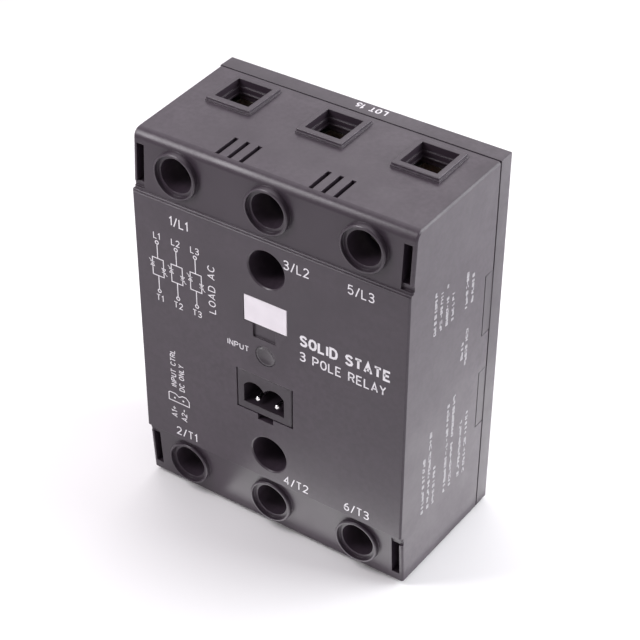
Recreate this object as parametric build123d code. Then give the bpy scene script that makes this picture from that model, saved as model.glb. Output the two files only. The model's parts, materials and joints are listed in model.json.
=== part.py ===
from build123d import *
from math import radians, tan
import os

# Three-phase solid state relay for panel or heatsink mounting.
# Millimetres. X to the right, Z up (line terminals at the top), the front faces -Y.
# The origin is the centre of the rear mounting face, so a depth is a distance forward of it.

# ---- overall ----
WIDTH = 76.2               # at the mounting face; the outer walls draw in towards the front
HEIGHT = 101.2
DRAFT_ANGLE = 1.0
SEAM_DEPTH = 4.6           # where the housing meets the base frame
SEAM_GAP = 0.3
STRIP_DEPTH = 39.3         # front of the terminal strips beside the label panel
STRIP_END_DEPTH = 38.3     # and where they end, as they slope back a little
PANEL_DEPTH = 40.2         # front of the raised label panel
PANEL_TOP = 34.5
PANEL_BOTTOM = -35.0
PANEL_LEDGE_DEPTH = 39.75  # narrow ledge half way down the step to a strip
PANEL_LEDGE_WIDTH = 0.4
STEP_CHAMFER = 0.15
WALL = 2.2
INNER_X = 35.3
INNER_Z = 47.8
FRONT_EDGE_RADIUS = 2.4
SIDE_EDGE_RADIUS = 0.4
SMALL_GAP = 0.1

# ---- terminals ----
PHASE_X = (-25.0, 0.0, 25.0)
TERMINAL_Z = 42.2
COLLAR_RADIUS = 5.85
COLLAR_DEPTH = 40.24
COUNTERBORE_DEPTH = 1.0
COUNTERBORE_RADIUS = 5.3
DRIVER_HOLE_RADIUS = 4.35
TUBE_RADIUS = 5.7
TUBE_END_DEPTH = 28.9

# ---- terminal screw, cage and bar ----
SCREW_HEAD_RADIUS = 3.9
SCREW_HEAD_DEPTHS = (28.5, 32.0)
SCREW_RADIUS = 2.0
SCREW_TIP_DEPTH = 18.8
SCREW_BORE_RADIUS = 2.05
CAGE_HALF_WIDTH = 5.6
CAGE_WALL = 1.2
CAGE_Z = (37.6, 46.0)
CAGE_FLOOR_DEPTHS = (7.0, 8.4)
CAGE_TOP_DEPTHS = (19.2, 21.7)
BAR_HALF_WIDTH = 4.0
BAR_THICKNESS = 1.5
BAR_DEPTHS = (17.2, 18.7)
BAR_END_Z = 46.8
BAR_LEG_Z = 34.5

# ---- wire ports ----
PORT_DEPTH = 13.3
PORT_RIM_HALF = (6.0, 6.2)
PORT_STEPS = ((4.75, 49.5), (4.4, 48.2), (4.1, 46.0))  # half width, and where the step ends
PORT_RIM_TOP = 51.4
PORT_FOOT_TOP = 50.7
PORT_FOOT_WIDTH = 0.2

# ---- mounting ----
MOUNT_Z = 27.0
MOUNT_HOLE_RADIUS = 2.65
WELL_RADIUS = 4.9
WELL_LEAD_IN = 0.3
COLUMN_RADIUS = 6.25
PLATE_THICKNESS = 3.0
PLATE_HALF_X = 35.9
PLATE_HALF_Z = 48.4
FRAME_REAR_DEPTH = 0.1
FRAME_CORNER_RADIUS = 0.25
SEAL_THICKNESS = 0.4
TONGUE_DEPTH = 8.6
TAB_DEPTH = 7.9
TAB_SPANS = ((5.0, 21.7), (-22.5, -6.1))

# ---- front panel features ----
TAG_CENTRE = (-0.4, 14.5)
TAG_SIZE = (11.9, 7.2)
TAG_THICKNESS = 1.2
NOTCH_X = (-3.9, 2.4)
NOTCH_HEIGHT = 3.8
LENS_CENTRE = (-0.5, 2.6)
LENS_RADIUS = 2.7
LENS_RIM_DEPTH = 40.1
LENS_DISH_RADIUS = 2.35
LENS_DISH_DEPTH = 0.6
HEADER_X = (-9.0, 7.1)
HEADER_Z = (-15.7, -4.1)
HEADER_DEPTH = 40.05
HEADER_GAPS = (0.06, 0.5, 0.06, 0.2)  # left, right, bottom and top
TAB_GAP = 0.2
SOCKET_X = (-7.05, 4.45)
SOCKET_Z = (-13.55, -6.95)
SOCKET_LOBE_RADIUS = 3.3
SOCKET_FLOOR_DEPTH = 31.0
PIN_PITCH = 5.5
PIN_CENTRE = (-0.9, -12.05)
PIN_RADIUS = 0.6
PIN_TIP_DEPTH = 39.4
LATCH_X = (-3.0, 1.4)
LATCH_Z = (-17.2, -15.7)
LATCH_TOP_DEPTH = 34.0

# ---- vents and corner slots ----
VENT_X = (-15.6, -12.4, -9.2, 9.2, 12.4, 15.6)
VENT_DEPTHS = (28.7, 36.3)
VENT_WIDTH = 1.1
SLOT_X = (34.4, 36.5)
SLOT_Z = (37.3, 47.2)
SLOT_FLOOR_DEPTH = 32.0
LANDING_DEPTH = 38.6
LANDING_WIDTH = 1.4
SLOT_SHIFT = -0.5          # the upper and the lower slots all sit a little low

# ---- power stage ----
TILE_THICKNESS = 0.63
TILE_X = (-24.0, 0.0, 24.0)
TILE_HALF_X = (9.3, 13.0, 9.3)
TILE_HALF_Z = 16.0
TRACK_THICKNESS = 0.3
CHIP_SIZE = 7.0
CHIP_THICKNESS = 0.4
CHIP_OFFSET = (4.5, 6.0)
GATE_OFFSET = 7.4
SHELF_DEPTHS = (8.5, 10.0)
TOE_Z = (12.0, 13.5)
TOE_END_Z = 10.2
MIDDLE_TOE_X = 9.7
MIDDLE_TOE_HALF = 2.5

# ---- control board ----
BOARD_DEPTHS = (25.9, 27.5)
BOARD_HALF_X = 34.0
BOARD_HALF_Z = 32.0
BOARD_SCREW_X = 30.5
BOARD_SCREW_Z = 28.0
POST_RADIUS = 2.8
PILOT_RADIUS = 1.2
OPTO_PLACES = ((-25.0, -22.0), (10.5, -22.0), (25.0, -22.0))
CAPACITOR_PLACES = ((-25.0, 14.0), (14.0, 14.0), (25.0, 14.0))
VARISTOR_PLACES = ((-31.0, 2.0), (-15.0, 2.0), (31.0, 2.0))
RESISTOR_PLACES = ((-25.0, -9.5), (11.7, -9.5), (25.0, -9.5))
REGULATOR_PLACE = (-14.5, -13.0)

TILE_TOP = PLATE_THICKNESS + TILE_THICKNESS
TRACK_TOP = TILE_TOP + TRACK_THICKNESS
CHIP_TOP = TRACK_TOP + CHIP_THICKNESS
STRIP_INNER = STRIP_END_DEPTH - WALL
PANEL_INNER = PANEL_DEPTH - WALL
TOWARDS_FRONT = Rot(90, 0, 0)


# ---- building blocks ----

def block(xs, depths, zs):
    """A box from its X range, its depth range and its Z range."""
    centre = (sum(xs) / 2, -sum(depths) / 2, sum(zs) / 2)
    return Pos(*centre) * Box(abs(xs[1] - xs[0]), abs(depths[1] - depths[0]), abs(zs[1] - zs[0]))


def peg(x, z, radius, depths):
    """A round bar square to the mounting face."""
    bar = Cylinder(radius, depths[1] - depths[0])
    return Pos(x, -sum(depths) / 2, z) * TOWARDS_FRONT * bar


def slab(half_x, half_z, depths, corner):
    """A plate parallel to the mounting face, with rounded corners."""
    outline = RectangleRounded(2 * half_x, 2 * half_z, corner)
    return Pos(0, -depths[0], 0) * TOWARDS_FRONT * extrude(outline, depths[1] - depths[0])


def drawn_in(half, depth):
    """Where an outer wall stands at a depth, from its place at the mounting face."""
    return half - depth * tan(radians(DRAFT_ANGLE))


def around(centre, half):
    """The range of a given half width about a centre."""
    return (centre - half, centre + half)


def bevel(part, edges, size):
    """Chamfer the edges of a part that a test picks out."""
    picked = [edge for edge in part.edges() if edges(edge)]
    return chamfer(picked, size)


def at_depth(depth):
    """A test for edges that lie wholly at one depth."""
    def test(edge):
        box = edge.bounding_box()
        return abs(box.min.Y + depth) < 1e-4 and abs(box.max.Y + depth) < 1e-4
    return test


def both_rows(part):
    """A line-side feature with its mirror image on the load side."""
    return part + mirror(part, about=Plane.XY)


# ---- rear: base plate, seal and frame ----

def make_base_plate():
    plate = slab(PLATE_HALF_X, PLATE_HALF_Z, (0, PLATE_THICKNESS), 1.5)
    plate = bevel(plate, at_depth(0), 0.4)
    for z in (-MOUNT_Z, MOUNT_Z):
        plate -= peg(0, z, MOUNT_HOLE_RADIUS, (-1, PLATE_THICKNESS + 1))
    return plate


def make_base_seal():
    depths = (PLATE_THICKNESS, PLATE_THICKNESS + SEAL_THICKNESS)
    return slab(35.4, 47.9, depths, 1.2) - slab(34.0, 46.5, depths, 0.8)


def side_tab(span, side):
    """A tab of the frame that fills a notch in the housing's side wall."""
    outside = drawn_in(WIDTH / 2, TAB_DEPTH)
    return block((side * (INNER_X - 0.5), side * outside), (3.5, TAB_DEPTH), span)


def make_base_frame():
    lip_depth = PLATE_THICKNESS + SEAL_THICKNESS
    frame = slab(WIDTH / 2, HEIGHT / 2, (FRAME_REAR_DEPTH, SEAM_DEPTH), FRAME_CORNER_RADIUS)
    frame += slab(35.2, 47.7, (SEAM_DEPTH, TONGUE_DEPTH), 0.6)
    frame -= slab(36.0, 48.5, (FRAME_REAR_DEPTH - 1, lip_depth), 1.6)
    frame -= slab(33.8, 46.3, (lip_depth - 1, TONGUE_DEPTH + 1), 0.8)
    for side in (-1, 1):
        for span in TAB_SPANS:
            frame += side_tab(span, side)
    return frame


# ---- housing ----

def drafted_block(rear):
    """The outer walls of the housing, which draw in towards the front."""
    outline = Rectangle(2 * drawn_in(WIDTH / 2, rear), 2 * drawn_in(HEIGHT / 2, rear))
    walls = extrude(outline, PANEL_DEPTH - rear, taper=DRAFT_ANGLE)
    return Pos(0, -rear, 0) * TOWARDS_FRONT * walls


def side_profile(rear):
    """The housing seen from the side: sloping terminal strips and a raised label panel."""
    half_z = HEIGHT / 2
    ledge_top = PANEL_TOP + PANEL_LEDGE_WIDTH
    ledge_bottom = PANEL_BOTTOM - PANEL_LEDGE_WIDTH
    corners = (
        (rear, -half_z),
        (STRIP_END_DEPTH, -half_z),
        (STRIP_DEPTH, ledge_bottom),
        (PANEL_LEDGE_DEPTH - STEP_CHAMFER, ledge_bottom),
        (PANEL_LEDGE_DEPTH, ledge_bottom + STEP_CHAMFER),
        (PANEL_LEDGE_DEPTH, PANEL_BOTTOM),
        (PANEL_DEPTH - STEP_CHAMFER, PANEL_BOTTOM),
        (PANEL_DEPTH, PANEL_BOTTOM + STEP_CHAMFER),
        (PANEL_DEPTH, PANEL_TOP - STEP_CHAMFER),
        (PANEL_DEPTH - STEP_CHAMFER, PANEL_TOP),
        (PANEL_LEDGE_DEPTH, PANEL_TOP),
        (PANEL_LEDGE_DEPTH, ledge_top - STEP_CHAMFER),
        (PANEL_LEDGE_DEPTH - STEP_CHAMFER, ledge_top),
        (STRIP_DEPTH, ledge_top),
        (STRIP_END_DEPTH, half_z),
        (rear, half_z),
    )
    outline = Polyline(*[(-depth, z) for depth, z in corners], close=True)
    return extrude(Plane.YZ * make_face(outline), WIDTH, both=True)


def front_corner(edge):
    """A test for the long upright edges where a side wall meets the front."""
    middle = edge.center()
    return abs(middle.X) > 37 and middle.Y < -38 and edge.length > 10


def housing_shell():
    """Outer walls, terminal strips and raised panel, open at the back."""
    inner_x = (-INNER_X, INNER_X)
    rear = SEAM_DEPTH + SEAM_GAP
    body = drafted_block(rear) & side_profile(rear)
    front = [edge for edge in body.edges() if edge.center().Y < -38]
    body = fillet([edge for edge in front if edge.center().Z > 49], FRONT_EDGE_RADIUS)
    body = bevel(body, front_corner, SIDE_EDGE_RADIUS)
    body -= block(inner_x, (rear - 1, STRIP_INNER), (-INNER_Z, INNER_Z))
    body -= block(inner_x, (STRIP_INNER - 1, PANEL_INNER), (PANEL_BOTTOM + WALL, PANEL_TOP - WALL))
    return body


def access_collar(x):
    """Raised collar, with the tube that guides a screwdriver to the terminal screw."""
    tube = peg(x, TERMINAL_Z, TUBE_RADIUS, (TUBE_END_DEPTH, STRIP_INNER + 1))
    collar = peg(x, TERMINAL_Z, COLLAR_RADIUS, (STRIP_INNER, COLLAR_DEPTH))
    return tube + bevel(collar, at_depth(COLLAR_DEPTH), 0.25)


def access_bore(x):
    ledge = COLLAR_DEPTH - COUNTERBORE_DEPTH
    counterbore = peg(x, TERMINAL_Z, COUNTERBORE_RADIUS, (ledge, COLLAR_DEPTH + 1))
    bore = peg(x, TERMINAL_Z, DRIVER_HOLE_RADIUS, (TUBE_END_DEPTH - 1, COLLAR_DEPTH + 1))
    return counterbore + bore


def port_rim(x):
    """Square rim on a slightly wider foot, which stands on the end wall round a wire port."""
    rim = Part()
    for extra, top in ((0, PORT_RIM_TOP), (PORT_FOOT_WIDTH, PORT_FOOT_TOP)):
        depths = around(PORT_DEPTH, PORT_RIM_HALF[1] + extra)
        rim += block(around(x, PORT_RIM_HALF[0] + extra), depths, (INNER_Z + 1, top))
    return bevel(rim, lambda edge: edge.bounding_box().min.Z > PORT_RIM_TOP - 0.01, 0.15)


def port_bore(x):
    """Square passage for the wire, which narrows in two steps."""
    bore = Part()
    top = PORT_RIM_TOP + 1
    for half, end in PORT_STEPS:
        bore += block(around(x, half), around(PORT_DEPTH, half), (end, top))
    return bore


def vent(x):
    return block(around(x, VENT_WIDTH / 2), VENT_DEPTHS, (INNER_Z - 1, HEIGHT / 2 + 1))


def slot_pocket(side):
    """Walls round a corner slot on the inside of the strip."""
    xs = (side * (SLOT_X[0] - 1.2), side * INNER_X)
    return block(xs, (SLOT_FLOOR_DEPTH - 1.5, STRIP_INNER), (SLOT_Z[0] - 1.2, INNER_Z + 0.6))


def slot_cut(side):
    """Corner slot for a clip-on cover, with a shallow landing beside it."""
    slot = block((side * SLOT_X[0], side * SLOT_X[1]), (SLOT_FLOOR_DEPTH, STRIP_DEPTH + 1), SLOT_Z)
    landing_z = (SLOT_Z[0] - LANDING_WIDTH, SLOT_Z[0])
    landing = block((side * SLOT_X[0], side * WIDTH / 2), (LANDING_DEPTH, STRIP_DEPTH + 1), landing_z)
    return slot + landing


def phase_barrier(x):
    """Insulating wall between two terminals, standing on the end wall."""
    return block(around(x, 0.75), (9.0, 26.5), (38.0, INNER_Z))


def mounting_column(z):
    """Tube from the label panel to the base plate, for a mounting screw and its driver."""
    return peg(0, z, COLUMN_RADIUS, (PLATE_THICKNESS, PANEL_INNER))


def mounting_well(z):
    well = peg(0, z, WELL_RADIUS, (PLATE_THICKNESS - 1, PANEL_DEPTH + 1))
    lead_in = Cone(WELL_RADIUS + WELL_LEAD_IN, WELL_RADIUS, WELL_LEAD_IN)
    return well + Pos(0, -PANEL_DEPTH + WELL_LEAD_IN / 2, z) * Rot(-90, 0, 0) * lead_in


def board_post(x, z):
    post = peg(x, z, POST_RADIUS, (BOARD_DEPTHS[1], PANEL_INNER))
    return post - peg(x, z, PILOT_RADIUS, (BOARD_DEPTHS[1] - 1, BOARD_DEPTHS[1] + 6.5))


def socket_outline():
    """The two-lobed mouth of the input socket, as a prism through the front panel."""
    lobe_z = SOCKET_Z[1] - SOCKET_LOBE_RADIUS
    half = (SOCKET_X[1] - SOCKET_X[0]) / 4
    depths = (SOCKET_FLOOR_DEPTH, PANEL_DEPTH + 1)
    mouth = block(SOCKET_X, depths, (SOCKET_Z[0], lobe_z))
    for x in (SOCKET_X[0] + half, SOCKET_X[1] - half):
        lobe = peg(x, lobe_z, SOCKET_LOBE_RADIUS, depths)
        mouth += lobe & block(around(x, half), depths, SOCKET_Z)
    return mouth


def header_window():
    """Opening for the input header and, below it, for its latch."""
    depths = (STRIP_INNER - 1, PANEL_DEPTH + 1)
    return block(HEADER_X, depths, HEADER_Z) + block(LATCH_X, depths, LATCH_Z)


def tag_pocket():
    """Pocket for the marker tag, with the shallow notch used to pry the tag out."""
    half_x = TAG_SIZE[0] / 2 + SMALL_GAP
    half_z = TAG_SIZE[1] / 2 + SMALL_GAP
    depths = (PANEL_DEPTH - TAG_THICKNESS, PANEL_DEPTH + 1)
    pocket = block(around(TAG_CENTRE[0], half_x), depths, around(TAG_CENTRE[1], half_z))
    notch_top = TAG_CENTRE[1] - half_z
    notch_z = (notch_top - NOTCH_HEIGHT, notch_top)
    return pocket + block(NOTCH_X, (PANEL_DEPTH - 0.5, PANEL_DEPTH + 1), notch_z)


def lens_bore():
    bore = peg(*LENS_CENTRE, LENS_RADIUS + SMALL_GAP, (PANEL_DEPTH - 1.2, PANEL_DEPTH + 1))
    return bore + peg(*LENS_CENTRE, 1.6, (PANEL_INNER - 1, PANEL_DEPTH))


def frame_notch(span, side):
    """Notch in the rear edge of a side wall for one tab of the base frame."""
    xs = (side * (INNER_X - 1), side * (WIDTH / 2 + 1))
    depths = (SEAM_DEPTH - 1, TAB_DEPTH + SEAM_GAP)
    return block(xs, depths, (span[0] - TAB_GAP, span[1] + TAB_GAP))


def make_housing():
    body = housing_shell()
    for x in PHASE_X:
        body += both_rows(access_collar(x) + port_rim(x))
    for side in (-1, 1):
        body += Pos(0, 0, SLOT_SHIFT) * both_rows(slot_pocket(side))
        body += both_rows(phase_barrier(side * 12.5))
        for z in (-BOARD_SCREW_Z, BOARD_SCREW_Z):
            body += board_post(side * BOARD_SCREW_X, z)
    for z in (-MOUNT_Z, MOUNT_Z):
        body += mounting_column(z)
    for x in PHASE_X:
        body -= both_rows(access_bore(x) + port_bore(x))
    for x in VENT_X:
        body -= both_rows(vent(x))
    for side in (-1, 1):
        body -= Pos(0, 0, SLOT_SHIFT) * both_rows(slot_cut(side))
        for span in TAB_SPANS:
            body -= frame_notch(span, side)
    for z in (-MOUNT_Z, MOUNT_Z):
        body -= mounting_well(z)
    return body - header_window() - tag_pocket() - lens_bore()


# ---- front panel inserts ----

def make_marker_tag():
    depths = (PANEL_DEPTH - TAG_THICKNESS, PANEL_DEPTH)
    xs = around(TAG_CENTRE[0], TAG_SIZE[0] / 2)
    tag = block(xs, depths, around(TAG_CENTRE[1], TAG_SIZE[1] / 2))
    return bevel(tag, at_depth(PANEL_DEPTH), 0.15)


def make_led_lens():
    """Flanged light guide with a dished front, which ends just in front of the LED."""
    x, z = LENS_CENTRE
    dish_radius = (LENS_DISH_RADIUS**2 + LENS_DISH_DEPTH**2) / (2 * LENS_DISH_DEPTH)
    flange = peg(x, z, LENS_RADIUS, (PANEL_DEPTH - 1.2, LENS_RIM_DEPTH))
    flange -= Pos(x, -LENS_RIM_DEPTH + LENS_DISH_DEPTH - dish_radius, z) * Sphere(dish_radius)
    guide = peg(x, z, 1.5, (32.5, PANEL_DEPTH - 1.1))
    return flange + guide


def make_status_led():
    can = peg(*LENS_CENTRE, 1.5, (BOARD_DEPTHS[1] + 0.8, 31.0))
    dome = fillet(can.edges().filter_by(at_depth(31.0)), 1.2)
    return dome + peg(*LENS_CENTRE, 1.8, (BOARD_DEPTHS[1], 28.4))


def pin_places():
    return [(PIN_CENTRE[0] + side * PIN_PITCH / 2, PIN_CENTRE[1]) for side in (-1, 1)]


def make_input_header():
    """Socket insert that stands on the board and closes the window in the front panel."""
    left, right, bottom, top = HEADER_GAPS
    xs = (HEADER_X[0] + left, HEADER_X[1] - right)
    zs = (HEADER_Z[0] + bottom, HEADER_Z[1] - top)
    insert = block(xs, (BOARD_DEPTHS[1], HEADER_DEPTH), zs)
    insert = bevel(insert, at_depth(HEADER_DEPTH), 0.2) - socket_outline()
    latch_z = (LATCH_Z[0] + SMALL_GAP, zs[0])
    insert += block(around(sum(LATCH_X) / 2, 1.8), (BOARD_DEPTHS[1], LATCH_TOP_DEPTH), latch_z)
    for x, z in pin_places():
        insert -= peg(x, z, PIN_RADIUS, (BOARD_DEPTHS[1] - 1, SOCKET_FLOOR_DEPTH + 1))
    return insert


def make_input_pins():
    pins = []
    for x, z in pin_places():
        pin = peg(x, z, PIN_RADIUS, (BOARD_DEPTHS[0] - 1.5, PIN_TIP_DEPTH))
        pins.append(bevel(pin, at_depth(PIN_TIP_DEPTH), 0.2))
    return Compound(children=pins)


# ---- terminals ----

def make_terminal_screw(x):
    """Clamp screw with a slotted cross recess in its head."""
    head = peg(x, TERMINAL_Z, SCREW_HEAD_RADIUS, SCREW_HEAD_DEPTHS)
    head = bevel(head, at_depth(SCREW_HEAD_DEPTHS[1]), 0.4)
    recess = (SCREW_HEAD_DEPTHS[1] - 1.6, SCREW_HEAD_DEPTHS[1] + 1)
    head -= block(around(x, 3.1), recess, around(TERMINAL_Z, 0.55))
    head -= block(around(x, 0.7), recess, around(TERMINAL_Z, 2.2))
    shank = peg(x, TERMINAL_Z, SCREW_RADIUS, (SCREW_TIP_DEPTH, SCREW_HEAD_DEPTHS[0]))
    return head + bevel(shank, at_depth(SCREW_TIP_DEPTH), 0.5)


def make_clamp_cage(x):
    """Box clamp: a floor that lifts the wire, two sides, and a threaded top round the screw."""
    outer = block(around(x, CAGE_HALF_WIDTH), (CAGE_FLOOR_DEPTHS[0], CAGE_TOP_DEPTHS[1]), CAGE_Z)
    inner_half = CAGE_HALF_WIDTH - CAGE_WALL
    inner = block(around(x, inner_half), (CAGE_FLOOR_DEPTHS[1], CAGE_TOP_DEPTHS[0]), (30, 50))
    cage = outer - inner
    for z in (39.7, 41.8, 43.9):
        cage -= block(around(x, inner_half - 0.6), (CAGE_FLOOR_DEPTHS[1] - 0.4, 9), around(z, 0.4))
    return cage - peg(x, TERMINAL_Z, SCREW_BORE_RADIUS, (CAGE_TOP_DEPTHS[0] - 1, 23))


def make_terminal_bar(phase):
    """Bent bar from the clamp down to a copper track; the middle one passes beside a column."""
    x = PHASE_X[phase]
    toe_xs = around(x, BAR_HALF_WIDTH)
    if phase == 1:
        toe_xs = around(MIDDLE_TOE_X, MIDDLE_TOE_HALF)
    leg_z = (BAR_LEG_Z, BAR_LEG_Z + BAR_THICKNESS)
    bar = block(around(x, BAR_HALF_WIDTH), BAR_DEPTHS, (BAR_LEG_Z, BAR_END_Z))
    bar += block(around(x, BAR_HALF_WIDTH), (SHELF_DEPTHS[0], BAR_DEPTHS[1]), leg_z)
    bar += block((x - BAR_HALF_WIDTH, toe_xs[1]), SHELF_DEPTHS, leg_z)
    bar += block(toe_xs, SHELF_DEPTHS, (TOE_Z[0], leg_z[1]))
    bar += block(toe_xs, (TRACK_TOP, SHELF_DEPTHS[1]), TOE_Z)
    return bar + block(toe_xs, (TRACK_TOP, TRACK_TOP + BAR_THICKNESS), (TOE_END_Z, TOE_Z[1]))


# ---- power stage ----

def make_substrate(phase):
    xs = around(TILE_X[phase], TILE_HALF_X[phase])
    return block(xs, (PLATE_THICKNESS, TILE_TOP), (-TILE_HALF_Z, TILE_HALF_Z))


def make_copper_tracks(phase):
    """Line and load tracks, one at each end, and two gate pads between them."""
    x = TILE_X[phase]
    half_x = TILE_HALF_X[phase] - 0.8
    depths = (TILE_TOP, TRACK_TOP)
    line = block(around(x, half_x), depths, (2.0, 15.2))
    load = mirror(line, about=Plane.XY)
    gates = [block(around(x + side * GATE_OFFSET, 1.0), depths, (-1.0, 1.0)) for side in (-1, 1)]
    return Compound(children=[line, load] + gates)


def chip_place(phase, side):
    return (TILE_X[phase] - side * CHIP_OFFSET[0], side * CHIP_OFFSET[1])


def make_thyristor(phase, side):
    x, z = chip_place(phase, side)
    half = CHIP_SIZE / 2
    chip = block(around(x, half), (TRACK_TOP, CHIP_TOP), around(z, half))
    return bevel(chip, at_depth(CHIP_TOP), 0.15)


def jumper_clip(phase, side):
    """Strip from the top of one chip over to the opposite copper track."""
    x, z = chip_place(phase, side)
    xs = around(x, 1.6)
    reach = -side * 3.4
    over = block(xs, (CHIP_TOP, CHIP_TOP + 0.5), sorted((z, reach)))
    down = block(xs, (TRACK_TOP, CHIP_TOP + 0.5), sorted((reach, reach - side * 0.8)))
    return over + down


def make_jumper_clips(phase):
    return Compound(children=[jumper_clip(phase, side) for side in (-1, 1)])


def make_gate_pins(phase):
    pins = []
    for side in (-1, 1):
        pins.append(peg(TILE_X[phase] + side * GATE_OFFSET, 0, 0.4, (TRACK_TOP, BOARD_DEPTHS[0])))
    return Compound(children=pins)


# ---- control board and its components ----

def make_control_board():
    board = slab(BOARD_HALF_X, BOARD_HALF_Z, BOARD_DEPTHS, 1.0)
    through = (BOARD_DEPTHS[0] - 1, BOARD_DEPTHS[1] + 1)
    for z in (-MOUNT_Z, MOUNT_Z):
        board -= peg(0, z, COLUMN_RADIUS + 0.4, through)
    for x in (-BOARD_SCREW_X, BOARD_SCREW_X):
        for z in (-BOARD_SCREW_Z, BOARD_SCREW_Z):
            board -= peg(x, z, PILOT_RADIUS, through)
    for x, z in pin_places():
        board -= peg(x, z, PIN_RADIUS, through)
    return board


def make_board_screws():
    screws = []
    for x in (-BOARD_SCREW_X, BOARD_SCREW_X):
        for z in (-BOARD_SCREW_Z, BOARD_SCREW_Z):
            head = peg(x, z, 2.3, (BOARD_DEPTHS[0] - 1.8, BOARD_DEPTHS[0]))
            head = bevel(head, at_depth(BOARD_DEPTHS[0] - 1.8), 0.5)
            shank = peg(x, z, PILOT_RADIUS, (BOARD_DEPTHS[0], BOARD_DEPTHS[1] + 6))
            screws.append(head + shank)
    return Compound(children=screws)


def on_board(x, z, size, height):
    """A component body that stands on the front of the control board."""
    depths = (BOARD_DEPTHS[1], BOARD_DEPTHS[1] + height)
    return block(around(x, size[0] / 2), depths, around(z, size[1] / 2))


def make_opto_driver(place):
    """Optocoupler body with a dimple at pin one."""
    height = 4.0
    body = bevel(on_board(*place, (6.5, 8.6), height), at_depth(BOARD_DEPTHS[1] + height), 0.4)
    dimple_depths = (BOARD_DEPTHS[1] + height - 0.3, BOARD_DEPTHS[1] + height + 1)
    return body - peg(place[0] - 2.2, place[1] + 3.3, 0.5, dimple_depths)


def make_snubber_capacitor(place):
    body = on_board(*place, (6.0, 13.0), 9.0)
    return fillet(body.edges().filter_by(Axis.Y), 0.8)


def make_varistor(place):
    """Round disc that stands on edge on the board."""
    radius = 4.5
    disc = fillet(Cylinder(radius, 4.0).edges(), 1.2)
    return Pos(place[0], -BOARD_DEPTHS[1] - radius, place[1]) * Rot(0, 90, 0) * disc


def make_snubber_resistors():
    radius = 1.6
    bodies = []
    for x, z in RESISTOR_PLACES:
        rod = fillet(Cylinder(radius, 8.0).edges(), 0.5)
        bodies.append(Pos(x, -BOARD_DEPTHS[1] - radius, z) * Rot(0, 90, 0) * rod)
    return Compound(children=bodies)


def make_current_regulator():
    x, z = REGULATOR_PLACE
    body = on_board(x, z, (6.6, 6.1), 2.3)
    return bevel(body, at_depth(BOARD_DEPTHS[1] + 2.3), 0.4) + on_board(x, z + 3.6, (5.2, 1.1), 0.6)


# ---- write one file per sub-part ----

def build_all():
    parts = {
        "base_plate": make_base_plate(),
        "base_seal": make_base_seal(),
        "base_frame": make_base_frame(),
        "housing": make_housing(),
        "marker_tag": make_marker_tag(),
        "led_lens": make_led_lens(),
        "status_led": make_status_led(),
        "input_header": make_input_header(),
        "input_pins": make_input_pins(),
        "control_board": make_control_board(),
        "board_screws": make_board_screws(),
        "snubber_resistors": make_snubber_resistors(),
        "current_regulator": make_current_regulator(),
    }
    for phase, x in enumerate(PHASE_X):
        number = phase + 1
        line_side = {
            "terminal_screw": make_terminal_screw(x),
            "clamp_cage": make_clamp_cage(x),
            "terminal_bar": make_terminal_bar(phase),
        }
        for name, part in line_side.items():
            parts[f"{name}_l{number}"] = part
            parts[f"{name}_t{number}"] = mirror(part, about=Plane.XY)
        parts[f"substrate_{number}"] = make_substrate(phase)
        parts[f"copper_tracks_{number}"] = make_copper_tracks(phase)
        parts[f"thyristor_forward_{number}"] = make_thyristor(phase, 1)
        parts[f"thyristor_reverse_{number}"] = make_thyristor(phase, -1)
        parts[f"jumper_clips_{number}"] = make_jumper_clips(phase)
        parts[f"gate_pins_{number}"] = make_gate_pins(phase)
        parts[f"opto_driver_{number}"] = make_opto_driver(OPTO_PLACES[phase])
        parts[f"snubber_capacitor_{number}"] = make_snubber_capacitor(CAPACITOR_PLACES[phase])
        parts[f"varistor_{number}"] = make_varistor(VARISTOR_PLACES[phase])
    return parts


os.makedirs("parts", exist_ok=True)
for node, shape in build_all().items():
    export_step(shape, f"parts/{node}.step")
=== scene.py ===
import json
import math
import random

import bmesh
import bpy
from mathutils import Matrix, Vector


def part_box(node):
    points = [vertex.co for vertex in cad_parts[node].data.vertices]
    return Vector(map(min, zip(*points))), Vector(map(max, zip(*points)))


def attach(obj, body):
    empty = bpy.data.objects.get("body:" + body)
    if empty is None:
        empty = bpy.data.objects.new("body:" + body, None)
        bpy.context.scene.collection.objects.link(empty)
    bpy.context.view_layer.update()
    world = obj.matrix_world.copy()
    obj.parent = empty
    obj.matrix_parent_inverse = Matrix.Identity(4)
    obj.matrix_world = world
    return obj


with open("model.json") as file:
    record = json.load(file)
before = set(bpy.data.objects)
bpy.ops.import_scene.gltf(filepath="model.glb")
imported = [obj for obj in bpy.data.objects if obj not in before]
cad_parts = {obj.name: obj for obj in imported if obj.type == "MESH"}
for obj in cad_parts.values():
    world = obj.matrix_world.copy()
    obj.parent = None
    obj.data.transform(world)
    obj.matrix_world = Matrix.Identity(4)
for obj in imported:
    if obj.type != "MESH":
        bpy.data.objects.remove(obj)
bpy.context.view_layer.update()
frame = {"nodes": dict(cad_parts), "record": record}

# Lengths are in metres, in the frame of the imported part: X to the right, Z up, the label panel faces
# -Y and the mounting face lies at Y = 0. Only the printed legends are laid out in millimetres.
MM = 0.001

PANEL_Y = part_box("marker_tag")[0].y  # the tag lies flush with the label panel
FLOOR_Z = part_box("housing")[0].z
frame_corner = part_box("base_frame")[1]
SIDE_X = frame_corner.x
TOP_Z = frame_corner.z
SIDE_DRAFT = math.tan(math.radians(1.0))  # how far a wall draws in for each unit of depth
INK_THICKNESS = 0.02 * MM
QUARTER_TURN = math.pi / 2


# ---------------------------------------------------------------- materials

# The colour sockets of a mix node share their names with others, so they are taken by number.
MIX_A, MIX_B, MIX_RESULT = 6, 7, 2
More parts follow.
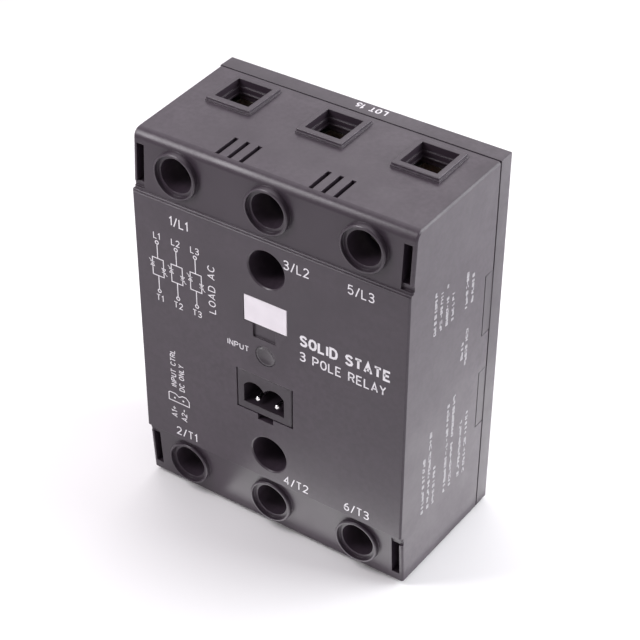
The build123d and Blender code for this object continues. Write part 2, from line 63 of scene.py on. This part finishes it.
# Most of any noise lies between these two values.
NOISE_LOW, NOISE_HIGH = 0.3, 0.7


def shade(color, factor, lift=0.0):
    """A darker or lighter colour."""
    return tuple(min(1.0, c * factor + lift) for c in color)


class Shader:
    """One material's node tree, with short ways to add and join nodes."""

    def __init__(self, name, color, roughness, metallic=0.0):
        self.material = bpy.data.materials.new(name)
        self.material.use_nodes = True
        self.tree = self.material.node_tree
        self.surface = self.tree.nodes["Principled BSDF"]
        self.set("Base Color", (*color, 1.0))
        self.set("Roughness", roughness)
        self.set("Metallic", metallic)
        self.place = self.add("ShaderNodeTexCoord").outputs["Object"]

    def set(self, socket, value):
        self.surface.inputs[socket].default_value = value

    def add(self, kind, **options):
        node = self.tree.nodes.new(kind)
        for key, value in options.items():
            setattr(node, key, value)
        return node

    def join(self, source, target):
        self.tree.links.new(source, target)

    def drive(self, socket, source):
        """Feed one of the surface's inputs from a node."""
        self.join(source, self.surface.inputs[socket])

    def noise(self, size, detail=2.0, stretch=(1, 1, 1)):
        """Noise whose features are about one size across, stretched along chosen axes."""
        mapping = self.add("ShaderNodeMapping")
        mapping.inputs["Scale"].default_value = [1 / (size * s) for s in stretch]
        texture = self.add("ShaderNodeTexNoise")
        texture.inputs["Scale"].default_value = 1.0
        texture.inputs["Detail"].default_value = detail
        self.join(self.place, mapping.inputs["Vector"])
        self.join(mapping.outputs["Vector"], texture.inputs["Vector"])
        return texture.outputs["Fac"]

    def remap(self, value, low, high, to_low, to_high):
        node = self.add("ShaderNodeMapRange")
        limits = {"From Min": low, "From Max": high, "To Min": to_low, "To Max": to_high}
        for socket, number in limits.items():
            node.inputs[socket].default_value = number
        self.join(value, node.inputs["Value"])
        return node.outputs["Result"]

    def spread(self, noise, to_low=0.0, to_high=1.0):
        """A noise that fills a range."""
        return self.remap(noise, NOISE_LOW, NOISE_HIGH, to_low, to_high)

    def mix(self, factor, color_a, color_b):
        node = self.add("ShaderNodeMix", data_type="RGBA")
        self.join(factor, node.inputs["Factor"])
        for number, color in ((MIX_A, color_a), (MIX_B, color_b)):
            if isinstance(color, tuple):
                node.inputs[number].default_value = (*color, 1.0)
            else:
                self.join(color, node.inputs[number])
        return node.outputs[MIX_RESULT]

    def bump(self, *layers, edge=0.0):
        """Bump layers, each a height and how deep it is in metres, over softly broken edges."""
        normal = None
        if edge:
            corner = self.add("ShaderNodeBevel", samples=6)
            corner.inputs["Radius"].default_value = edge
            normal = corner.outputs["Normal"]
        for height, depth in layers:
            node = self.add("ShaderNodeBump")
            node.inputs["Strength"].default_value = 1.0
            node.inputs["Distance"].default_value = depth
            self.join(height, node.inputs["Height"])
            if normal is not None:
                self.join(normal, node.inputs["Normal"])
            normal = node.outputs["Normal"]
        self.drive("Normal", normal)

    def edge_wear_and_highlight(self, color, wear_and_highlight_color, low=0.52, high=0.62, amount=0.5):
        """Lighter edges where the surface is convex, broken up by noise: partly rubbed wear, partly a
        painted highlight.
        """
        geometry = self.add("ShaderNodeNewGeometry")
        edge = self.remap(geometry.outputs["Pointiness"], low, high, 0.0, amount)
        patches = self.remap(self.noise(1.2 * MM, 3), 0.35, 0.65, 0.2, 1.0)
        broken = self.add("ShaderNodeMath", operation="MULTIPLY")
        self.join(edge, broken.inputs[0])
        self.join(patches, broken.inputs[1])
        return self.mix(broken.outputs[0], color, wear_and_highlight_color)


def moulded_plastic(name, color, roughness, grain=0.22 * MM):
    """Fine spark-eroded grain with slow gloss changes, faint cloudiness, and lighter convex edges that are
    partly rubbed wear and partly a painted highlight.
    """
    relief = 0.004 * MM
    gloss_change = 0.04
    shader = Shader(name, color, roughness)
    clouds = shader.spread(shader.noise(14 * MM, 3))
    body = shader.mix(clouds, color, shade(color, 0.9))
    specks = shader.remap(shader.noise(0.35 * MM, 1), 0.66, 0.78, 0.0, 0.35)
    body = shader.mix(specks, body, shade(color, 1.22, 0.002))
    # Convex edges are lightened: partly rubbed wear, partly a painted highlight.
    shader.drive("Base Color", shader.edge_wear_and_highlight(body, shade(color, 1.9, 0.01)))
    gloss = shader.spread(shader.noise(7 * MM, 4), roughness - gloss_change, roughness + gloss_change)
    shader.drive("Roughness", gloss)
    texture = (shader.noise(grain, 2), relief)
    waviness = (shader.noise(3 * MM, 2), relief)
    shader.bump(texture, waviness, edge=0.2 * MM)
    return shader.material


def smooth_plastic(name, color, roughness, transmission=0.0):
    """Glossy moulding with slight flow lines."""
    shader = Shader(name, color, roughness)
    shader.set("Transmission Weight", transmission)
    tone = shader.spread(shader.noise(4 * MM, 2))
    shader.drive("Base Color", shader.mix(tone, color, shade(color, 0.93)))
    gloss = shader.spread(shader.noise(1.5 * MM, 3), roughness * 0.85, roughness * 1.25)
    shader.drive("Roughness", gloss)
    shader.bump((shader.noise(2.5 * MM, 2), 0.004 * MM), edge=0.08 * MM)
    return shader.material


def metal(name, color, roughness, stretch, tarnish):
    """Plated or brushed metal: fine scratches, stretched along chosen axes, and slow tarnish."""
    shader = Shader(name, color, roughness, metallic=1.0)
    stain = shader.remap(shader.noise(2.2 * MM, 4), 0.35, 0.7, 0.0, 1.0)
    shader.drive("Base Color", shader.mix(stain, color, shade(color, 1 - 2.2 * tarnish)))
    scratches = shader.noise(0.12 * MM, 3, stretch)
    shader.drive("Roughness", shader.spread(scratches, roughness * 0.75, roughness * 1.35))
    shader.bump((scratches, 0.0015 * MM), edge=0.1 * MM)
    return shader.material


def mineral(name, color, roughness):
    """Fired or cut stone-like surface with a fine crystal grain."""
    shader = Shader(name, color, roughness)
    grain = shader.noise(0.3 * MM, 4)
    shader.drive("Base Color", shader.mix(shader.spread(grain), color, shade(color, 0.88)))
    shader.bump((grain, 0.003 * MM))
    return shader.material


def solder_mask(name, color):
    """Circuit board: lacquer over a faint weave, with lighter tracks under it."""
    shader = Shader(name, color, 0.35)
    weave = shader.add("ShaderNodeTexChecker")
    weave.inputs["Scale"].default_value = 1 / (0.8 * MM)
    shader.join(shader.place, weave.inputs["Vector"])
    tracks = shader.remap(shader.noise(2.4 * MM, 0, (6, 1, 0.6)), 0.5, 0.53, 0.0, 0.6)
    body = shader.mix(weave.outputs["Fac"], color, shade(color, 0.92))
    shader.drive("Base Color", shader.mix(tracks, body, shade(color, 1.6)))
    shader.bump((tracks, 0.02 * MM))
    return shader.material


def ink(name, color):
    """Pad-printed ink: slightly uneven cover and a dry surface."""
    shader = Shader(name, color, 0.6)
    thin = shader.remap(shader.noise(0.25 * MM, 3), 0.35, 0.75, 0.0, 0.35)
    shader.drive("Base Color", shader.mix(thin, color, shade(color, 0.62)))
    shader.bump((shader.noise(0.15 * MM, 2), 0.003 * MM))
    return shader.material


def make_materials():
    """One material for each material slot in the record."""
    black = (0.036, 0.026, 0.036)
    return {
        "housing": moulded_plastic("housing_black", black, 0.36),
        "frame": moulded_plastic("frame_black", (0.039, 0.030, 0.039), 0.36),
        "header": moulded_plastic("header_black", (0.028, 0.021, 0.028), 0.4, grain=0.16 * MM),
        "component": moulded_plastic("component_black", (0.02, 0.02, 0.022), 0.5),
        "capacitor": moulded_plastic("capacitor_yellow", (0.60, 0.42, 0.05), 0.45),
        "tag": smooth_plastic("tag_white", (0.79, 0.75, 0.79), 0.42),
        "lens": smooth_plastic("lens_grey", (0.052, 0.045, 0.052), 0.2),
        "led": smooth_plastic("led_green", (0.25, 0.55, 0.22), 0.15, transmission=0.3),
        "silicon": smooth_plastic("silicon_grey", (0.07, 0.075, 0.10), 0.12),
        "varistor": smooth_plastic("varistor_blue", (0.02, 0.06, 0.30), 0.25),
        "resistor": smooth_plastic("resistor_lacquer", (0.33, 0.42, 0.46), 0.30),
        "seal": smooth_plastic("seal_silicone", (0.55, 0.54, 0.50), 0.55),
        "plate": metal("plate_aluminium", (0.64, 0.64, 0.65), 0.40, stretch=(40, 1, 1), tarnish=0.08),
        "pin": metal("pin_tin", (0.88, 0.87, 0.86), 0.18, stretch=(1, 20, 1), tarnish=0.05),
        "screw": metal("screw_zinc", (0.42, 0.40, 0.36), 0.42, stretch=(6, 6, 6), tarnish=0.16),
        "cage": metal("cage_zinc", (0.36, 0.34, 0.31), 0.45, stretch=(20, 1, 1), tarnish=0.16),
        "copper": metal("bar_copper", (0.80, 0.42, 0.26), 0.34, stretch=(1, 1, 30), tarnish=0.14),
        "tin": metal("clip_tin", (0.74, 0.73, 0.71), 0.30, stretch=(1, 1, 20), tarnish=0.08),
        "ceramic": mineral("substrate_alumina", (0.85, 0.85, 0.82), 0.5),
        "board": solder_mask("board_green", (0.012, 0.10, 0.035)),
    }


def dress_nodes(materials):
    """Give each CAD node the material of its slot."""
    slots = {row["node"]: row["material_slot"] for row in frame["record"]["subparts"]}
    for name, node in frame["nodes"].items():
        node.data.materials.clear()
        node.data.materials.append(materials[slots[name]])


# ---------------------------------------------------------------- printed legends

def on_panel(x, z):
    """A point on the front of the label panel, from millimetres."""
    return Vector((x * MM, PANEL_Y, z * MM))


def on_side(y, z):
    """A point on the right side wall, which draws in towards the front, from millimetres."""
    return Vector((SIDE_X + y * MM * SIDE_DRAFT, y * MM, z * MM))


def on_top(x, y):
    """A point on the top edge of the base frame, from millimetres."""
    return Vector((x * MM, y * MM, TOP_Z))


def circle(centre, radius, count):
    """Evenly spaced points round a centre."""
    angles = [2 * math.pi * i / count for i in range(count)]
    return [(centre[0] + radius * math.cos(a), centre[1] + radius * math.sin(a)) for a in angles]


# The smallest cosine that a mitre is worked out from, so that sharp corners of a stroke stay short.
LEAST_MITRE = 0.35
PLAIN_STROKE = 0.22


class Print:
    """Thin ink shapes on one flat face, gathered into one mesh."""

    def __init__(self, name, place, outward):
        self.name = name
        self.place = place
        self.outward = Vector(outward) * INK_THICKNESS
        self.mesh = bmesh.new()

    def face(self, points):
        """A thin ink patch, open underneath, from its outline in millimetres on the face."""
        base = [self.place(*p) for p in points]
        low = [self.mesh.verts.new(p) for p in base]
        high = [self.mesh.verts.new(p + self.outward) for p in base]
        self.mesh.faces.new(high)
        for i in range(len(base)):
            j = (i + 1) % len(base)
            self.mesh.faces.new((low[i], low[j], high[j], high[i]))

    def line(self, points, width, closed=False):
        """A stroke of even width along a path, with mitred corners."""
        path = [Vector(p) for p in points]
        count = len(path)
        sides = []
        for i, p in enumerate(path):
            before = path[i - 1] if (i > 0 or closed) else None
            after = path[(i + 1) % count] if (i < count - 1 or closed) else None
            a = (p - before).normalized() if before is not None else (after - p).normalized()
            b = (after - p).normalized() if after is not None else a
            normal = Vector((-(a + b).y, (a + b).x)).normalized()
            reach = width / 2 / max(LEAST_MITRE, normal.dot(Vector((-a.y, a.x))))
            sides.append((p + normal * reach, p - normal * reach))
        for i in range(count if closed else count - 1):
            j = (i + 1) % count
            self.face([sides[i][0], sides[i][1], sides[j][1], sides[j][0]])

    def ring(self, centre, radius, width, points=16):
        self.line(circle(centre, radius, points), width, closed=True)

    def dot(self, centre, radius, points=10):
        self.face(circle(centre, radius, points))

    def text(self, words, centre, height, stroke=PLAIN_STROKE, width_scale=1.0, angle=0.0):
        """Single-stroke lettering of a given capital height, centred on a point."""
        strokes = []
        reach = 0.0
        for letter in words:
            if letter == " ":
                reach += WORD_SPACE
                continue
            for path in GLYPHS[letter]:
                strokes.append([(x + reach, y) for x, y in path])
            reach += max(x for path in GLYPHS[letter] for x, y in path) + LETTER_SPACE
        half = (reach - LETTER_SPACE) / 2
        spin = Matrix.Rotation(angle, 2)
        for path in strokes:
            placed = []
            for x, y in path:
                turned = spin @ Vector(((x - half) * width_scale, y - 0.5)) * height
                placed.append((centre[0] + turned.x, centre[1] + turned.y))
            closed = placed[0] == placed[-1]
            self.line(placed[:-1] if closed else placed, stroke, closed)

    def finish(self, material):
        """Turn the shapes into one piece that rides with the housing."""
        bmesh.ops.recalc_face_normals(self.mesh, faces=self.mesh.faces)
        data = bpy.data.meshes.new(self.name)
        self.mesh.to_mesh(data)
        self.mesh.free()
        data.materials.append(material)
        piece = bpy.data.objects.new(self.name, data)
        bpy.context.scene.collection.objects.link(piece)
        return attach(piece, "root")


# Single-stroke capitals and figures, one unit high, drawn from the lower left.
WORD_SPACE = 0.62
LETTER_SPACE = 0.32
S_CURVE = [(0.58, 0.82), (0.46, 0.96), (0.28, 1.0), (0.1, 0.93), (0.03, 0.78), (0.1, 0.62), (0.3, 0.52)]
S_CURVE += [(0.5, 0.42), (0.58, 0.24), (0.5, 0.07), (0.3, 0.0), (0.12, 0.04), (0.0, 0.18)]
P_BOWL = [(0.0, 0.0), (0.0, 1.0), (0.36, 1.0), (0.54, 0.92), (0.6, 0.74), (0.54, 0.55), (0.36, 0.47)]
P_BOWL += [(0.0, 0.47)]
THREE = [(0.02, 0.86), (0.14, 0.97), (0.3, 1.0), (0.48, 0.95), (0.56, 0.78), (0.48, 0.6), (0.28, 0.53)]
THREE += [(0.5, 0.46), (0.6, 0.27), (0.52, 0.07), (0.3, 0.0), (0.12, 0.03), (0.0, 0.15)]
SIX = [(0.5, 0.98), (0.24, 0.84), (0.06, 0.56), (0.01, 0.28), (0.1, 0.07), (0.3, 0.0), (0.5, 0.07)]
SIX += [(0.6, 0.28), (0.52, 0.49), (0.32, 0.57), (0.12, 0.5), (0.01, 0.28)]
ROUND = [(0.31, 1.0), (0.12, 0.92), (0.01, 0.68), (0.01, 0.32), (0.12, 0.08), (0.31, 0.0)]
GLYPHS = {
    "1": [[(0.0, 0.78), (0.22, 1.0), (0.22, 0.0)]],
    "2": [[(0.0, 0.78), (0.1, 0.94), (0.3, 1.0), (0.5, 0.93), (0.58, 0.76), (0.5, 0.55), (0.0, 0.0),
           (0.6, 0.0)]],
    "3": [THREE],
    "4": [[(0.46, 0.0), (0.46, 1.0), (0.0, 0.3), (0.62, 0.3)]],
    "5": [[(0.55, 1.0), (0.09, 1.0), (0.04, 0.55), (0.28, 0.64), (0.5, 0.56), (0.6, 0.33), (0.5, 0.08),
           (0.28, 0.0), (0.0, 0.14)]],
    "6": [SIX],
    "/": [[(0.0, -0.06), (0.42, 1.06)]],
    "+": [[(0.3, 0.2), (0.3, 0.8)], [(0.0, 0.5), (0.6, 0.5)]],
    "-": [[(0.0, 0.5), (0.5, 0.5)]],
    "A": [[(0.0, 0.0), (0.32, 1.0), (0.64, 0.0)], [(0.1, 0.3), (0.54, 0.3)]],
    "C": [[(0.6, 0.82), (0.48, 0.95)] + ROUND + [(0.48, 0.05), (0.6, 0.18)]],
    "D": [[(0.0, 0.0), (0.0, 1.0), (0.3, 1.0), (0.5, 0.9), (0.6, 0.66), (0.6, 0.34), (0.5, 0.1), (0.3, 0.0),
           (0.0, 0.0)]],
    "E": [[(0.55, 1.0), (0.0, 1.0), (0.0, 0.0), (0.56, 0.0)], [(0.0, 0.52), (0.46, 0.52)]],
    "I": [[(0.0, 0.0), (0.0, 1.0)]],
    "L": [[(0.0, 1.0), (0.0, 0.0), (0.52, 0.0)]],
    "N": [[(0.0, 0.0), (0.0, 1.0), (0.58, 0.0), (0.58, 1.0)]],
    "O": [ROUND + [(0.5, 0.08), (0.61, 0.32), (0.61, 0.68), (0.5, 0.92), (0.31, 1.0)]],
    "P": [P_BOWL],
    "R": [P_BOWL, [(0.34, 0.47), (0.6, 0.0)]],
    "S": [S_CURVE],
    "T": [[(0.0, 1.0), (0.6, 1.0)], [(0.3, 1.0), (0.3, 0.0)]],
    "U": [[(0.0, 1.0), (0.0, 0.28), (0.09, 0.07), (0.3, 0.0), (0.51, 0.07), (0.6, 0.28), (0.6, 1.0)]],
    "Y": [[(0.0, 1.0), (0.3, 0.5), (0.6, 1.0)], [(0.3, 0.5), (0.3, 0.0)]],
}


def print_terminal_numbers(material):
    legend = Print("terminal_numbers", on_panel, (0, -1, 0))
    rows = (
        ("1/L1", -24.25, 30.25), ("3/L2", 8.2, 30.6), ("5/L3", 25.1, 30.9),
        ("2/T1", -24.9, -32.4), ("4/T2", 7.9, -32.6), ("6/T3", 25.1, -32.1),
    )
    for words, x, z in rows:
        legend.text(words, (x, z), height=2.25, stroke=0.3, width_scale=0.95)
    return legend.finish(material)


def thyristor_symbol(legend, x, z, up):
    """Arrow against a bar, with a gate stroke, pointing up or down."""
    width = 0.16
    way = 1 if up else -1
    arrow = [(x - 0.55, z - way * 0.5), (x + 0.55, z - way * 0.5), (x, z + way * 0.45)]
    legend.line(arrow, width, closed=True)
    legend.line([(x - 0.6, z + way * 0.55), (x + 0.6, z + way * 0.55)], width)
    legend.line([(x - way * 0.1, z + way * 0.6), (x - way * 1.0, z + way * 1.3)], width)


def print_wiring_diagram(material):
    """Three poles, each a pair of opposed thyristors between a line and a load terminal."""
    legend = Print("wiring_diagram", on_panel, (0, -1, 0))
    width = 0.24
    ring_radius = 0.45
    line_ring, load_ring = 22.6, 8.8
    loop_top, loop_bottom, loop_half = 18.1, 13.2, 1.6
    for number, x in enumerate((-30.9, -25.4, -19.9), start=1):
        left, right = x - loop_half, x + loop_half
        loop = [(left, loop_top), (right, loop_top), (right, loop_bottom), (left, loop_bottom)]
        legend.text(f"L{number}", (x, line_ring + 1.9), height=1.6)
        legend.ring((x, line_ring), ring_radius, width)
        legend.line([(x, line_ring - 0.5), (x, loop_top + 0.1)], width)
        legend.line(loop, width, closed=True)
        thyristor_symbol(legend, left, 16.1, up=True)
        thyristor_symbol(legend, right, 15.2, up=False)
        legend.line([(x, loop_bottom - 0.1), (x, load_ring + 0.5)], width)
        legend.ring((x, load_ring), ring_radius, width)
        legend.text(f"T{number}", (x, load_ring - 2.0), height=1.6)
    legend.text("LOAD AC", (-15.4, 15.4), height=1.8, stroke=0.24, width_scale=1.25, angle=QUARTER_TURN)
    return legend.finish(material)


def print_input_legend(material):
    """Outline of the input socket with its two poles, and its lettering."""
    legend = Print("input_legend", on_panel, (0, -1, 0))
    left, right, low, lobe = -29.9, -23.7, -23.4, -20.9
    middle = (left + right) / 2
    path = [(left, low), (right, low), (right, lobe - 0.9), (right - 0.9, lobe), (middle + 1.1, lobe)]
    path += [(middle, lobe - 0.7), (middle - 1.1, lobe), (left + 0.4, lobe), (left, lobe - 0.3)]
    legend.line(path, 0.24, closed=True)
    for x in (-28.1, -25.5):
        legend.dot((x, -22.3), 0.28)
    legend.text("INPUT CTRL", (-28.1, -13.1), height=1.4, angle=QUARTER_TURN)
    legend.text("DC ONLY", (-25.7, -15.2), height=1.4, angle=QUARTER_TURN)
    legend.text("A1+", (-28.4, -26.7), height=1.5, angle=QUARTER_TURN)
    legend.text("A2-", (-25.4, -26.7), height=1.5, angle=QUARTER_TURN)
    legend.text("INPUT", (-8.25, 2.6), height=1.4, width_scale=1.15)
    return legend.finish(material)


def print_product_name(material):
    legend = Print("product_legend", on_panel, (0, -1, 0))
    legend.text("SOLID STATE", (21.2, 11.6), height=2.5, stroke=0.62, width_scale=1.08)
    legend.text("3 POLE RELAY", (20.6, 7.1), height=2.3, stroke=0.36)
    return legend.finish(material)


def print_lot_number(material):
    legend = Print("lot_number", on_top, (0, 0, 1))
    legend.text("LOT 16", (2.6, -1.9), height=1.7, stroke=0.36, width_scale=1.05, angle=2 * QUARTER_TURN)
    return legend.finish(material)


def print_side_notes(material):
    """Small laser-marked notes on the side wall, as rows of short unreadable dashes."""
    legend = Print("side_notes", on_side, (1, 0, 0))
    dice = random.Random(7)
    stroke = 0.17
    along_odds, across_odds = 0.62, 0.7
    # Each row: where it lies in depth, and where it starts and ends in height.
    rows = (
        (-29.4, 18.2, 30.0), (-27.0, 18.1, 28.9), (-24.5, 18.1, 29.4), (-22.1, 18.0, 25.6),
        (-16.2, 17.9, 27.5), (-13.7, 18.2, 26.1), (-15.0, 1.0, 11.3), (-16.8, 3.5, 9.1),
        (-21.4, -33.5, -6.7), (-19.0, -33.1, -5.3), (-15.2, -32.9, -15.7), (-12.7, -33.4, -14.5),
        (-31.1, -33.4, -16.5), (-28.7, -33.3, -10.1), (-26.4, -33.4, -21.2),
    )
    for y, low, high in rows:
        z = low
        while z < high:
            length = dice.uniform(0.35, 1.1)
            for offset in (-0.4, 0.0, 0.4):
                if dice.random() < along_odds:
                    end = (y + offset * 0.8, min(z + length, high))
                    legend.line([(y + offset, z), end], stroke)
            if dice.random() < across_odds:
                legend.line([(y - 0.45, z), (y + 0.45, z)], stroke)
            z += length + dice.choice((0.25, 0.25, 0.8))
    return legend.finish(material)


# ---------------------------------------------------------------- stage, lights, camera

FLOOR_HALF = 3.0
BOUNCE_Z = FLOOR_Z + MM

ROSE = (1.0, 0.96, 1.0)
PALE_ROSE = (1.0, 0.97, 1.0)
COOL = (0.96, 0.98, 1.0)
WHITE = (1.0, 1.0, 1.0)
WORLD_COLOR = (1.0, 0.95, 1.0)
WORLD_STRENGTH = 0.42

# Each light: name, place, the point it faces, width and height, power in watts, and colour.
# The last two are small, lie just above the floor and lift the foot of the front and of the right side.
SOFT_BOXES = (
    ("key_rear", (-0.2, 0.52, 0.7), (0, 0, 0), (1.2, 1.0), 4.6, ROSE),
    ("rim_rear", (-0.06, 0.13, 0.17), (0.02, -0.005, 0.05), (0.08, 0.06), 0.012, ROSE),
    ("key_right", (0.45, 0.25, 0.2), (0.03, -0.02, -0.03), (0.4, 0.4), 3.8, COOL),
    ("edge_left", (-0.14, -0.175, 0.195), (-0.035, -0.04, 0.05), (0.08, 0.17), 0.5, PALE_ROSE),
    ("bounce_front", (0.013, -0.05, BOUNCE_Z), (0.013, -0.05, 1), (0.06, 0.018), 0.007, WHITE),
    ("bounce_right", (0.054, 0.01, BOUNCE_Z), (0.054, 0.01, 1), (0.03, 0.09), 0.008, WHITE),
)

CAMERA_AZIMUTH = math.radians(33.94)
CAMERA_ELEVATION = math.radians(36.81)
CAMERA_ROLL = math.radians(-0.29)
CAMERA_TARGET = Vector((-5.5, -10.4, -7.4)) * MM
CAMERA_DISTANCE = 444.8 * MM
LENS = 102.08          # this and the sensor are in millimetres, as Blender takes them
SENSOR_WIDTH = 36.0
NEAREST_SEEN = 10 * MM


def make_floor():
    """A wide pale floor."""
    mesh = bpy.data.meshes.new("floor")
    signs = ((-1, -1), (1, -1), (1, 1), (-1, 1))
    corners = [(x * FLOOR_HALF, y * FLOOR_HALF, FLOOR_Z) for x, y in signs]
    mesh.from_pydata(corners, [], [(0, 1, 2, 3)])
    floor = bpy.data.objects.new("floor", mesh)
    bpy.context.scene.collection.objects.link(floor)
    mesh.materials.append(Shader("floor_white", (0.94, 0.94, 0.94), 0.8).material)


def aim(thing, place, target):
    """Put a thing somewhere and point its -Z axis at a target."""
    thing.location = place
    direction = Vector(target) - Vector(place)
    thing.rotation_euler = direction.to_track_quat("-Z", "Y").to_euler()


def soft_box(name, place, target, size, power, color):
    """A rectangular light that the camera does not see."""
    light = bpy.data.lights.new(name, "AREA")
    light.shape = "RECTANGLE"
    light.size, light.size_y = size
    light.energy = power
    light.color = color
    lamp = bpy.data.objects.new(name, light)
    bpy.context.scene.collection.objects.link(lamp)
    lamp.visible_camera = False
    aim(lamp, place, target)


def make_lights():
    """Even light from all round, and the soft boxes."""
    world = bpy.data.worlds.new("studio")
    world.use_nodes = True
    background = world.node_tree.nodes["Background"]
    background.inputs["Color"].default_value = (*WORLD_COLOR, 1.0)
    background.inputs["Strength"].default_value = WORLD_STRENGTH
    bpy.context.scene.world = world
    for row in SOFT_BOXES:
        soft_box(*row)


def make_camera():
    """Looks down on the front right corner of the relay."""
    forward = Vector((
        -math.sin(CAMERA_AZIMUTH) * math.cos(CAMERA_ELEVATION),
        math.cos(CAMERA_AZIMUTH) * math.cos(CAMERA_ELEVATION),
        -math.sin(CAMERA_ELEVATION),
    ))
    data = bpy.data.cameras.new("camera")
    data.lens = LENS
    data.sensor_width = SENSOR_WIDTH
    data.clip_start = NEAREST_SEEN
    camera = bpy.data.objects.new("camera", data)
    bpy.context.scene.collection.objects.link(camera)
    camera.location = CAMERA_TARGET - forward * CAMERA_DISTANCE
    level = forward.to_track_quat("-Z", "Y").to_matrix()
    camera.rotation_euler = (Matrix.Rotation(CAMERA_ROLL, 3, forward) @ level).to_euler()
    bpy.context.scene.camera = camera


materials = make_materials()
dress_nodes(materials)
white_ink = ink("print_white", (0.78, 0.76, 0.79))
side_ink = ink("print_side", (0.52, 0.51, 0.53))
print_terminal_numbers(white_ink)
print_wiring_diagram(white_ink)
print_input_legend(white_ink)
print_product_name(white_ink)
print_lot_number(white_ink)
print_side_notes(side_ink)
make_floor()
make_lights()
make_camera()
bpy.context.scene.view_settings.view_transform = "Standard"
